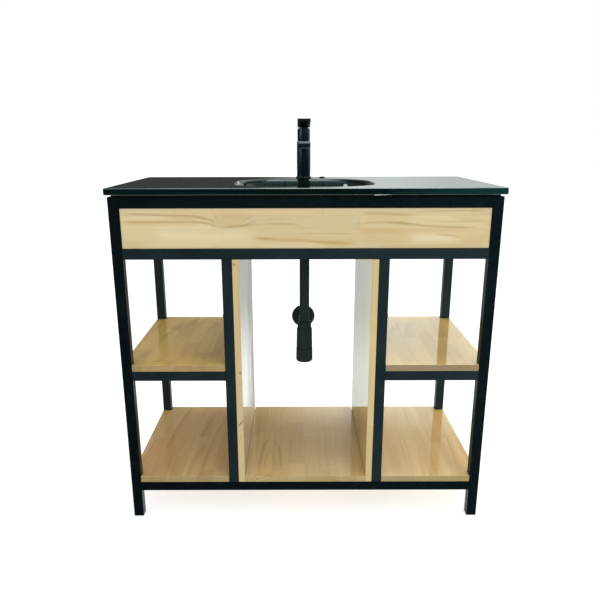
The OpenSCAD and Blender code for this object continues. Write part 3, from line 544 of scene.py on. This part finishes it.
def lathe(name, profile, mat, centre=(0, 0, 0), axis="z", segs=96, ribs=None, **kw):
    """Turns a profile of (radius, height) in mm round an axis through centre (mm). ribs = (count, depth, from height, to height)."""
    verts, faces = [], []
    n = len(profile)
    for i in range(segs):
        a = 2 * PI * i / segs
        for r, h in profile:
            rr = r
            if ribs and ribs[2] <= h <= ribs[3] and r > ribs[4]:
                rr = r - ribs[1] * (0.5 + 0.5 * math.cos(a * ribs[0]))
            p = (rr * math.cos(a), rr * math.sin(a), h)
            if axis == "y":
                p = (p[0], p[2], -p[1])
            if axis == "-y":
                p = (p[0], -p[2], p[1])
            if axis == "x":
                p = (p[2], p[0], p[1])
            verts.append(tuple((centre[k] + p[k]) / 1000 for k in range(3)))
    for i in range(segs):
        j = (i + 1) % segs
        for k in range(n - 1):
            faces.append((i * n + k, j * n + k, j * n + k + 1, i * n + k + 1))
    if profile[0] == profile[-1]:
        pass
    return make(name, verts, faces, mat, smooth=kw.pop("smooth", 32.0), **kw)


def arc(cx, cy, r, a0, a1, n=6):
    return [(cx + r * math.cos(math.radians(a0 + (a1 - a0) * i / n)), cy + r * math.sin(math.radians(a0 + (a1 - a0) * i / n))) for i in range(n + 1)]


# ---------------------------------------------------------------- sizes, mm
YF, YB, HW, XI, PPX, PX, DV = -240.0, 200.0, 450.0, 425.0, 196.5, 171.5, 155.5
G, T = 0.5, 25.5
BOWL_Y, TAP_Y, GZ = -50.0, 152.0, 845.0


# ---------------------------------------------------------------- boards
def bay(s):
    pts = [(PX + G, YF + T), (PPX + G, YF + T), (PPX + G, YF), (XI - G, YF), (XI - G, YF + T), (HW, YF + T),
           (HW, YB - T), (XI - G, YB - T), (XI - G, YB), (PPX + G, YB), (PPX + G, YB - T), (PX + G, YB - T)]
    pts = [(s * x, y) for x, y in pts]
    return pts if s > 0 else pts[::-1]


prism("board_shelf_left", bay(-1), 405, 421, P_SH_L, 0.0007, replaces=("shelf_left",), slot="pine")
prism("board_shelf_right", bay(1), 405, 421, P_SH_R, 0.0007, replaces=("shelf_right",), slot="pine")
prism("board_floor_left", bay(-1), 100, 116, P_FL_L, 0.0007, replaces=("floor_left",), slot="pine")
prism("board_floor_right", bay(1), 100, 116, P_FL_R, 0.0007, replaces=("floor_right",), slot="pine")
prism("board_floor_centre", rect(-155.3, YF, 155.3, YB), 100, 116, P_FL_C, 0.0007, replaces=("floor_centre",), slot="pine")
prism("board_divider_left", rect(-171.5, YF, -155.5, 175), 100, 682, P_DV_L, 0.0008, replaces=("divider_left",), slot="pine")
prism("board_divider_right", rect(155.5, YF, 171.5, 175), 100, 682, P_DV_R, 0.0008, replaces=("divider_right",), slot="pine")
prism("board_front", rect(-424.5, -237, 424.5, -221), 707.5, 799.5, P_FRONT, 0.0008, replaces=("front_panel",), slot="pine")
prism("board_side_left", rect(-447, -214.5, -431, 174.5), 707.5, 799.5, P_SIDE_L, 0.0008, replaces=("side_panel_left",), slot="pine")
prism("board_side_right", rect(431, -214.5, 447, 174.5), 707.5, 799.5, P_SIDE_R, 0.0008, replaces=("side_panel_right",), slot="pine")

# ---------------------------------------------------------------- weld beads in the free inner corners of the frame
bead_v, bead_f = [], []


def bead(p, along, n1, n2, length=23.0, r=2.3):
    """A rippled fillet in the corner at p (mm), running along an axis, between two faces with outward directions n1 and n2."""
    p, along, n1, n2 = Vector(p), Vector(along), Vector(n1), Vector(n2)
    rows, k = 22, 5
    start = len(bead_v)
    for i in range(rows + 1):
        t = i / rows
        end = min(1.0, min(t, 1 - t) * 9)
        rad = r * (0.25 + 0.75 * math.sqrt(end)) * (1 + 0.10 * math.sin(t * 46 + p.x * 0.7) + 0.06 * math.sin(t * 17 + p.z))
        for j in range(k + 1):
            a = PI / 2 * j / k
            q = p + along * (length * (t - 0.5)) + n1 * (rad * (1 - math.sin(a) * 0.72) * (1 if j else 1.0)) * (1 - j / k) + n2 * (rad * (1 - math.cos(a) * 0.72)) * (j / k)
            if j == 0:
                q = p + along * (length * (t - 0.5)) + n1 * rad
            if j == k:
                q = p + along * (length * (t - 0.5)) + n2 * rad
            bead_v.append(q / 1000)
    for i in range(rows):
        for j in range(k):
            a = start + i * (k + 1) + j
            bead_f.append((a, a + 1, a + k + 2, a + k + 1))
    # close the back, so that the bead is a solid sliver in its corner
    base = len(bead_v)
    for i in range(rows + 1):
        bead_v.append((p + along * (length * (i / rows - 0.5)) + (n1 + n2) * 0.02) / 1000)
    for i in range(rows):
        a0, a1 = start + i * (k + 1), start + (i + 1) * (k + 1)
        bead_f.append((base + i, base + i + 1, a1, a0))
        bead_f.append((base + i + 1, base + i, a0 + k, a1 + k))
    bead_f.append(tuple([base] + [start + j for j in range(k + 1)]))
    bead_f.append(tuple([base + rows] + [start + rows * (k + 1) + j for j in range(k, -1, -1)]))


DOWN, X, Y = (0, 0, -1), (1, 0, 0), (0, 1, 0)
for s in (-1, 1):
    inward = (-s, 0, 0)
    for yc in (YF + 12.5, YB - 12.5):
        for z in (75.0, 380.0, 682.0):
            bead((s * XI, yc, z), Y, inward, DOWN)
        # posts under the apron rail and beside the shelf rail
        bead((s * PPX, yc, 682.0), Y, (s, 0, 0), DOWN)
        bead((s * PPX, yc, 380.0), Y, (s, 0, 0), DOWN)
    for yc, d in ((YF + 25, 1), (YB - 25, -1)):
        for z in (75.0, 380.0, 682.0):
            bead((s * (HW - 12.5), yc, z), X, (0, d, 0), DOWN)
        bead((s * (PX + 12.5), yc, 75.0), X, (0, d, 0), DOWN)
make("weld_beads", bead_v, bead_f, WELD, smooth=60.0, slot="frame_steel")


# ---------------------------------------------------------------- glass top with its bowl
def smooth_profile(pts, sub):
    """Rounds a list of points with Catmull-Rom spans."""
    out = []
    for i in range(len(pts) - 1):
        p0, p1, p2, p3 = pts[max(0, i - 1)], pts[i], pts[i + 1], pts[min(len(pts) - 1, i + 2)]
        for k in range(sub):
            t = k / sub
            out.append(tuple(0.5 * ((2 * p1[j]) + (-p0[j] + p2[j]) * t + (2 * p0[j] - 5 * p1[j] + 4 * p2[j] - p3[j]) * t * t + (-p0[j] + 3 * p1[j] - 3 * p2[j] + p3[j]) * t ** 3) for j in (0, 1)))
    out.append(tuple(pts[-1]))
    return out


BCX, BCY = 51.0, 30.0
base_ring = []
for q in range(4):
    sx, sy = (1, 1, -1, -1)[q], (1, -1, -1, 1)[q]
for q, (cx, cy) in enumerate(((BCX, BCY), (-BCX, BCY), (-BCX, -BCY), (BCX, -BCY))):
    for i in range(33):
        a = math.radians(90 * q + 90 * i / 32)
        base_ring.append((cx, cy, math.cos(a), math.sin(a)))
    nx, ny = ((-BCX, BCY), (-BCX, -BCY), (BCX, -BCY), (BCX, BCY))[q]
    a = math.radians(90 * (q + 1))
    steps = 10 if q % 2 == 0 else 4
    for i in range(1, steps):
        t = i / steps
        base_ring.append((cx + (nx - cx) * t, cy + (ny - cy) * t, math.cos(a), math.sin(a)))


def bowl_ring(bm, r, z):
    return [bm.verts.new(((cx + r * c) / 1000, (BOWL_Y + cy + r * s) / 1000, (GZ + z) / 1000)) for cx, cy, c, s in base_ring]


def bridge(bm, a, b, flip=False, index=0):
    n = len(a)
    for i in range(n):
        j = (i + 1) % n
        f = bm.faces.new((a[i], a[j], b[j], b[i]) if not flip else (a[i], b[i], b[j], a[j]))
        f.material_index = index


def outline_ring(bm, hx, y0, y1, r, z):
    pts = []
    for cx, cy, a0 in ((hx - r, y1 - r, 0), (-hx + r, y1 - r, 90), (-hx + r, y0 + r, 180), (hx - r, y0 + r, 270)):
        pts += arc(cx, cy, r, a0, a0 + 90, 8)
    return [bm.verts.new((x / 1000, y / 1000, (GZ + z) / 1000)) for x, y in pts]


def loop_edges(bm, ring):
    return [bm.edges.get((ring[i], ring[(i + 1) % len(ring)])) or bm.edges.new((ring[i], ring[(i + 1) % len(ring)])) for i in range(len(ring))]


inner = smooth_profile([(131.5, 0), (130, 0), (126.6, -0.8), (123.2, -2.8), (120.3, -6.2), (118.2, -11), (116.6, -18), (114, -30), (110.4, -46), (105.2, -62), (98, -78),
                        (88.2, -92), (76, -103), (62, -111), (46, -116.6), (32, -119.9), (24, -120.9)], 4)
outer = smooth_profile([(127.5, -15), (125.6, -17), (124.4, -21), (122.6, -31), (119, -48), (113.6, -65.5), (105.6, -83), (94.6, -98.8), (81, -111), (65.5, -119.6), (48, -125.6),
                        (33, -128.8), (24, -130)], 3)
bm = bmesh.new()
rings = [bowl_ring(bm, r, z) for r, z in inner]
for a, b in zip(rings, rings[1:]):
    bridge(bm, a, b)
hole = [bm.verts.new((22.5 * math.cos(t) / 1000, (BOWL_Y + 22.5 * math.sin(t)) / 1000, (GZ - 121) / 1000)) for t in [math.atan2(cy + 24 * s, cx + 24 * c) for cx, cy, c, s in base_ring]]
bridge(bm, rings[-1], hole)
out_rings = [bowl_ring(bm, r, z) for r, z in outer]
for a, b in zip(out_rings, out_rings[1:]):
    bridge(bm, a, b, True, 2)
hole2 = [bm.verts.new((v.co.x, v.co.y, (GZ - 130) / 1000)) for v in hole]
bridge(bm, out_rings[-1], hole2, True, 2)
bridge(bm, hole, hole2, False, 2)
near_top = bowl_ring(bm, 133, 0)
bridge(bm, near_top, rings[0])
near_low = bowl_ring(bm, 131, -15)
bridge(bm, near_low, out_rings[0], True, 2)
t0 = outline_ring(bm, 453.8, -248.8, 208.8, 3.2, 0)
t1 = outline_ring(bm, 455, -250, 210, 4, -1.2)
t2 = outline_ring(bm, 455, -250, 210, 4, -13.8)
t3 = outline_ring(bm, 453.8, -248.8, 208.8, 3.2, -15)
for a, b, i in ((t0, t1, 3), (t1, t2, 1), (t2, t3, 3)):
    bridge(bm, a, b, False, i)
for big, small, i in ((t0, near_top, 0), (t3, near_low, 2)):
    before = set(bm.faces)
    bmesh.ops.triangle_fill(bm, use_beauty=True, use_dissolve=False, edges=loop_edges(bm, big) + loop_edges(bm, small))
    for f in set(bm.faces) - before:
        f.material_index = i
bmesh.ops.recalc_face_normals(bm, faces=bm.faces)
me = bpy.data.meshes.new("glass_basin")
bm.to_mesh(me)
bm.free()
# the arris is coloured lighter than the edge: a painted highlight line, added to the real reflection of its gloss
ARRIS_PAINTED_HIGHLIGHT = plain("glass_arris_painted_highlight", (0.05, 0.085, 0.075), 0.12, 0.8, 0.0, 0.2, 400.0, 0.02)
for m in (GLASS, EDGE, BACK, ARRIS_PAINTED_HIGHLIGHT):
    me.materials.append(m)
place("glass_basin", me, replaces=("glass_top",), slot="black_glass", smooth=32.0)

# ---------------------------------------------------------------- mixer
TC = (0, TAP_Y, 0)
lathe("mixer_base_ring", [(16.2, 846), (22, 846), (22, 847.6), (21.6, 848.3), (20.7, 848.9), (16.2, 849), (16.2, 846)], BLACK, TC, replaces=("tap_base_ring",), slot="black_metal")
lathe("mixer_column", [(0, 849), (18.2, 849), (18.8, 849.5), (19, 850.2), (19, 943.6), (18.6, 944.6), (17.8, 945), (12.6, 945), (12.6, 926), (0, 926)], BLACK, TC, segs=128, replaces=("tap_body",), slot="black_metal")
tip = [(-10, 945), (-104.5, 945), (-110, 939.5), (-110, 930), (-10, 930)]
spout_m = Matrix(((0, 0, 1, 0), (1, 0, 0, TAP_Y / 1000), (0, 1, 0, 0), (0, 0, 0, 1)))
prism("mixer_spout", tip, -16, 16, BLACK, 0.0009, 3, spout_m, slot="black_metal")
bm = bmesh.new()
tube = [(12.6, 945.3), (17.2, 945.3), (17.5, 945.7), (17.5, 986), (13.9, 986), (13.9, 969.2), (12.6, 969.2)]
cols = []
for i in range(128):
    a = 2 * PI * i / 128
    cols.append([bm.verts.new((r * math.cos(a) / 1000, (TAP_Y + r * math.sin(a)) / 1000, h / 1000)) for r, h in tube])
for i in range(128):
    for k in range(len(tube)):
        m = (k + 1) % len(tube)
        bm.faces.new((cols[i][k], cols[(i + 1) % 128][k], cols[(i + 1) % 128][m], cols[i][m]))
slope = math.radians(17)
cut = bmesh.ops.bisect_plane(bm, geom=bm.verts[:] + bm.edges[:] + bm.faces[:], plane_co=(0, TAP_Y / 1000, 0.97665), plane_no=(0, math.sin(slope), math.cos(slope)), clear_outer=True)
rim = [e for e in cut["geom_cut"] if isinstance(e, bmesh.types.BMEdge)]
bmesh.ops.bridge_loops(bm, edges=rim)
bmesh.ops.recalc_face_normals(bm, faces=bm.faces)
bevelled(bm, 0.0004, 2, 50.0)
me = bpy.data.meshes.new("mixer_shroud")
bm.to_mesh(me)
bm.free()
me.materials.append(BLACK)
place("mixer_shroud", me, replaces=("tap_shroud",), slot="black_metal", smooth=32.0)
ball = [(12.9, 970.2)] + [(13.5 * math.cos(math.radians(a)), 974 + 13.5 * math.sin(math.radians(a))) for a in range(-14, 90, 6)] + [(0.3, 987.48)]
lathe("mixer_ball", ball, BLACK, TC, body="tap_handle", replaces=("tap_ball",), slot="black_metal")
plan = ([(17.6 - 2.5 + 2.5 * math.cos(math.radians(a)), 12 - 2.5 + 2.5 * math.sin(math.radians(a))) for a in range(0, 91, 15)]
        + [(-17.6 + 2.5 + 2.5 * math.cos(math.radians(a)), 12 - 2.5 + 2.5 * math.sin(math.radians(a))) for a in range(90, 181, 15)]
        + [(-17.8 + 3 + 3 * math.cos(math.radians(a)), -80 + 3 + 3 * math.sin(math.radians(a))) for a in range(180, 271, 15)]
        + [(17.8 - 3 + 3 * math.cos(math.radians(a)), -80 + 3 + 3 * math.sin(math.radians(a))) for a in range(270, 361, 15)])
lever_m = Matrix.Translation((0, TAP_Y / 1000, 0.974)) @ Matrix.Rotation(math.radians(-9), 4, "X")
prism("mixer_lever", plan, 9.5, 17, PADDLE, 0.0012, 3, lever_m, body="tap_paddle", replaces=("tap_lever",), slot="black_metal")

# ---------------------------------------------------------------- waste pipe and trap
BC = (0, BOWL_Y, 0)
OZ = 421.0
lathe("waste_flange_and_body", [(16.5, 676), (16.5, 727.2), (17.4, 728), (28.6, 728), (29.6, 727.6), (30.8, 725.8), (31, 725.1), (20.5, 725.1), (20.5, 655.6), (19.9, 655), (13.1, 655), (13.1, 676), (16.5, 676)], BLACK, BC, replaces=("waste_body",), slot="black_metal")
lathe("push_plug", [(0.01, 727.6), (6, 727.4), (6, 728.3), (28.3, 728.3), (29.2, 728.7), (29.5, 729.5), (29.4, 730.6), (28.6, 731.7), (27, 732.6), (20, 733.7), (10, 734.4), (0.01, 734.5)], BLACK, BC, body="waste_plug", replaces=("waste_plug",), slot="black_metal")
lathe("plug_stem", [(0.01, 684.4), (3.4, 684.4), (4, 685), (4, 727.6)], ZINC, BC, segs=32, body="waste_plug", slot="black_metal")
lathe("waste_pipe", [(11.6, 389), (13, 389), (13, 674.9), (11.6, 674.9), (11.6, 389)], PLASTIC, BC, replaces=("trap_tailpiece",), slot="black_plastic")
lathe("inlet_nut", [(13.1, 460), (18.2, 460), (18.6, 460.5), (18.6, 470.6), (18.2, 471.4), (16.6, 477.2), (15.9, 478), (13.1, 478), (13.1, 460)], PLASTIC, BC, segs=192, ribs=(32, 0.5, 461, 470.7, 18), replaces=("trap_inlet_nut",), slot="black_plastic")
lathe("trap_chamber", [(15.8, 392), (17.8, 392), (17.8, 404), (21.3, 404.2), (21.7, 404.8), (20.6, 459), (20.0, 459.9), (13.1, 460), (15.8, 452), (15.8, 392)], PLASTIC, BC, replaces=("trap_body",), slot="black_plastic")
lathe("outlet_stub", [(12.6, 12), (16.4, 12), (16.4, 33.5), (15.9, 34), (13.1, 34)], PLASTIC, (0, BOWL_Y, OZ), "y", slot="black_plastic")
lathe("trap_cup", [(0.01, 366), (17.4, 366), (20.1, 366.8), (21.9, 368.6), (22.4, 370), (22.6, 371.5), (22.4, 386), (22.1, 402.4), (21.7, 402.9), (17.9, 402.9), (17.9, 390), (17, 389), (17, 374), (14, 370.5), (0.01, 369.5)], PLASTIC, BC, segs=128, replaces=("trap_cup",), slot="black_plastic")
lathe("outlet_nut", [(13.1, -25 + 0), (19.1, -25), (19.5, -24.5), (19.5, -13.4), (19.1, -12.8), (17.2, -9.3), (16.7, -9), (13.1, -9)], PLASTIC, (0, 0, OZ), "y", segs=192, ribs=(30, 0.5, -24.4, -13.2, 19), replaces=("trap_outlet_nut",), slot="black_plastic")
lathe("outlet_pipe", [(11.6, -28), (13, -28), (13, 210.9), (12.6, 211.2), (12.6, 212.8), (13, 213.1), (13, 249.4), (12.6, 250), (11.6, 250), (11.6, -28)], PLASTIC, (0, 0, OZ), "y", replaces=("trap_outlet_pipe",), slot="black_plastic")
lathe("wall_rosette", [(13.4, 0.4), (13.4, 10.7), (13.7, 11), (16.8, 11), (17.3, 10.4), (17.9, 8.4), (21, 7.2), (27, 5.6), (32, 3.6), (34.6, 1.8), (35.3, 1.0), (35.5, 0.4), (35.2, 0), (33.5, 0), (26, 4), (19, 5.8), (16.4, 5.8), (16.4, 0.4), (13.4, 0.4)], ROSETTE, (0, 210, OZ), "-y", segs=128, body="wall_rosette", replaces=("wall_flange",), slot="black_plastic")
lathe("deck_plug", [(0.01, 847.8), (4, 847.6), (6.6, 847.1), (7.8, 846.5), (8.4, 845.8), (8.3, 845.02), (6.4, 845.0), (6.4, 831), (5.2, 828), (0.01, 828)], RUBBER, (53, 169, 0), segs=48, replaces=("hole_plug",), slot="rubber")

# ---------------------------------------------------------------- CAD nodes that show as they are
LOOK = {"frame_steel": STEEL, "black_plastic": PLASTIC, "zinc_steel": ZINC, "foam": FOAM, "rubber": RUBBER, "black_metal": BLACK,
        "brass": BRASS, "white_plastic": WHITEP, "aerator": AERATOR, "black_glass": GLASS, "pine": P_SIDE_L}
slots = {p["node"]: p["material_slot"] for p in frame["record"]["subparts"]}
for name, o in frame["nodes"].items():
    o.data.materials.clear()
    look = LOOK[slots[name]]
    # painted light and shade: each frame bar gets the darker or a lighter copy of the black powder coat
    if look is STEEL and name not in PAINTED_SHADE_BARS:
        look = STEEL_REAR_PAINTED_LIT if name in ("leg_rear_left", "leg_rear_right") else STEEL_PAINTED_LIT
    o.data.materials.append(CAPS if name == "leg_end_caps" else look)
    if not o.hide_render:
        w = o.modifiers.new("weld", "WELD")
        w.merge_threshold = 1e-6
        e = o.modifiers.new("split", "EDGE_SPLIT")
        e.split_angle = math.radians(32)
        o.data.polygons.foreach_set("use_smooth", [True] * len(o.data.polygons))
        n = o.modifiers.new("flat_faces", "WEIGHTED_NORMAL")
        n.weight = 80


# ---------------------------------------------------------------- floor, light and reflected surroundings
def stage_mesh(name, verts, faces, mat):
    me = bpy.data.meshes.new(name)
    me.from_pydata(verts, [], faces)
    me.materials.append(mat)
    o = bpy.data.objects.new(name, me)
    scene.collection.objects.link(o)
    return o


s = Shader("floor_white")
grain = s.noise(s.co(), 3.0, 3.0, 0.5)
s.principled(Base_Color=s.mix(grain, (0.51, 0.51, 0.515), (0.54, 0.54, 0.545)), Roughness=0.9, Specular_IOR_Level=0.05, Emission_Color=(1, 1, 1), Emission_Strength=0.68)
floor = stage_mesh("floor", [(-14, -14, 0), (14, -14, 0), (14, 20, 0), (-14, 20, 0)], [(0, 1, 2, 3)], s.mat)
floor.visible_glossy = False


def glow(name, build):
    s = Shader(name)
    e = s.nt.nodes.new("ShaderNodeEmission")
    col, strength = build(s)
    s.put(e.inputs[0], col if isinstance(col, bpy.types.NodeSocket) else rgba(col))
    s.put(e.inputs[1], strength)
    s.nt.links.new(e.outputs[0], s.out.inputs[0])
    return s.mat


def only_reflected(o):
    o.visible_camera = False
    o.visible_diffuse = False
    o.visible_shadow = False
    o.visible_transmission = False
    o.visible_volume_scatter = False


def studio(s):
    """What the glossy surfaces see of the studio: dim in front, pale above, pale behind on the right, dim behind on the left."""
    n = s.nt.nodes.new("ShaderNodeVectorMath")
    n.operation = "NORMALIZE"
    s.put(n.inputs[0], s.co())
    x, y, z = s.split(n.outputs[0])
    behind = s.step(y, -0.25, 0.25)
    right = s.step(x, -0.09, 0.07)
    low = s.step(z, 0.02, 0.30, 0.62, 1.64)
    warm = s.mul(s.step(z, 0.21, 0.255), s.step(z, 0.272, 0.304, 1.0, 0.0))
    left = s.add(s.step(z, 0.02, 0.45, 0.05, 0.20), s.mul(warm, 0.26))
    low = s.mul(low, s.mul(s.step(z, 0.325, 0.378, 1.0, 0.40), s.step(x, 0.18, 0.30, 1.0, 0.87)))
    low = s.mul(low, s.step(z, 0.410, 0.465, 1.0, 1.78))
    rear = s.add(s.mul(right, low), s.mul(s.sub(1.0, right), left))
    above = s.step(z, 0.40, 0.80)
    front = s.add(s.step(z, 0.12, 0.36, 0.085, 0.52), s.mul(above, 0.85))
    front = s.mul(front, s.sub(1.0, s.mul(s.step(s.math("ABSOLUTE", s.sub(x, 0.013)), 0.009, 0.015, 0.9, 0.0), s.step(z, 0.06, 0.12))))
    below = s.step(z, -0.02, -0.12)
    deep = s.add(s.step(z, -0.26, -0.40, 0.56, 0.85), s.step(x, -0.04, -0.10, 0.0, 0.24))
    deep = s.add(deep, s.mul(s.step(x, 0.040, 0.055), s.step(z, -0.22, -0.40, 0.08, 0.50)))
    dark = s.step(s.math("ABSOLUTE", s.sub(x, 0.012)), 0.022, 0.034, 0.97, 0.0)
    deep = s.mul(deep, s.sub(1.0, dark))
    rear = s.add(s.mul(rear, s.sub(1.0, below)), s.mul(deep, below))
    spout = s.mul(s.step(s.math("ABSOLUTE", s.sub(x, 0.013)), 0.045, 0.085, 0.5, 0.0), s.mul(s.step(z, 0.085, 0.12), s.step(z, 0.24, 0.28, 1.0, 0.0)))
    rear = s.mul(rear, s.sub(1.0, spout))
    level = s.add(s.mul(behind, rear), s.mul(s.sub(1.0, behind), front))
    level = s.add(level, s.step(z, 0.93, 0.97, 0.0, 2.4))
    lamp = s.add(s.add(s.mul(x, -0.84), s.mul(y, -0.452)), s.mul(z, 0.301))
    spot = s.step(lamp, 0.9925, 0.9972)
    level = s.add(level, s.mul(spot, 12.0))
    tint = s.mix(s.mul(warm, s.sub(1.0, right)), (0.92, 1.0, 0.965), (1.10, 0.93, 0.66))
    tint = s.mix(behind, (0.77, 1.0, 1.09), tint)
    return s.mix(s.step(spot, 0.05, 0.5), tint, (0.93, 0.98, 1.0)), level


bpy.ops.mesh.primitive_uv_sphere_add(segments=64, ring_count=32, radius=6.0, location=(0, 0, 0))
dome = bpy.context.object
dome.name = "studio_dome"
dome.data.name = "studio_dome"
for p in dome.data.polygons:
    p.use_smooth = True
dome.data.materials.append(glow("studio_dome", studio))
dome.location = (0, 0, 0.6)
only_reflected(dome)

world = bpy.data.worlds.new("World")
scene.world = world
world.use_nodes = True
nt = world.node_tree
nt.nodes.clear()
bg = nt.nodes.new("ShaderNodeBackground")
bg.inputs[0].default_value = (1, 1, 1, 1)
bg.inputs[1].default_value = 1.0
wo = nt.nodes.new("ShaderNodeOutputWorld")
nt.links.new(bg.outputs[0], wo.inputs[0])


def area(name, loc, target, size, size_y, power, colour=(1, 1, 1), glossy=False):
    d = bpy.data.lights.new(name, "AREA")
    d.shape = "RECTANGLE"
    d.size, d.size_y = size, size_y
    d.energy = power
    d.color = colour
    o = bpy.data.objects.new(name, d)
    scene.collection.objects.link(o)
    o.location = loc
    o.rotation_euler = (Vector(target) - Vector(loc)).to_track_quat("-Z", "Y").to_euler()
    o.visible_glossy = glossy
    return o


area("key", (1.9, -2.6, 2.8), (0, 0, 0.5), 1.8, 1.4, 22, (1.0, 0.985, 0.95))
area("top", (0.2, 0.1, 3.0), (0, 0, 0.4), 1.6, 1.2, 18, glossy=True)
area("side", (3.2, 1.2, 1.5), (0.2, 0, 0.35), 1.8, 1.6, 26, (1.0, 0.99, 0.97))
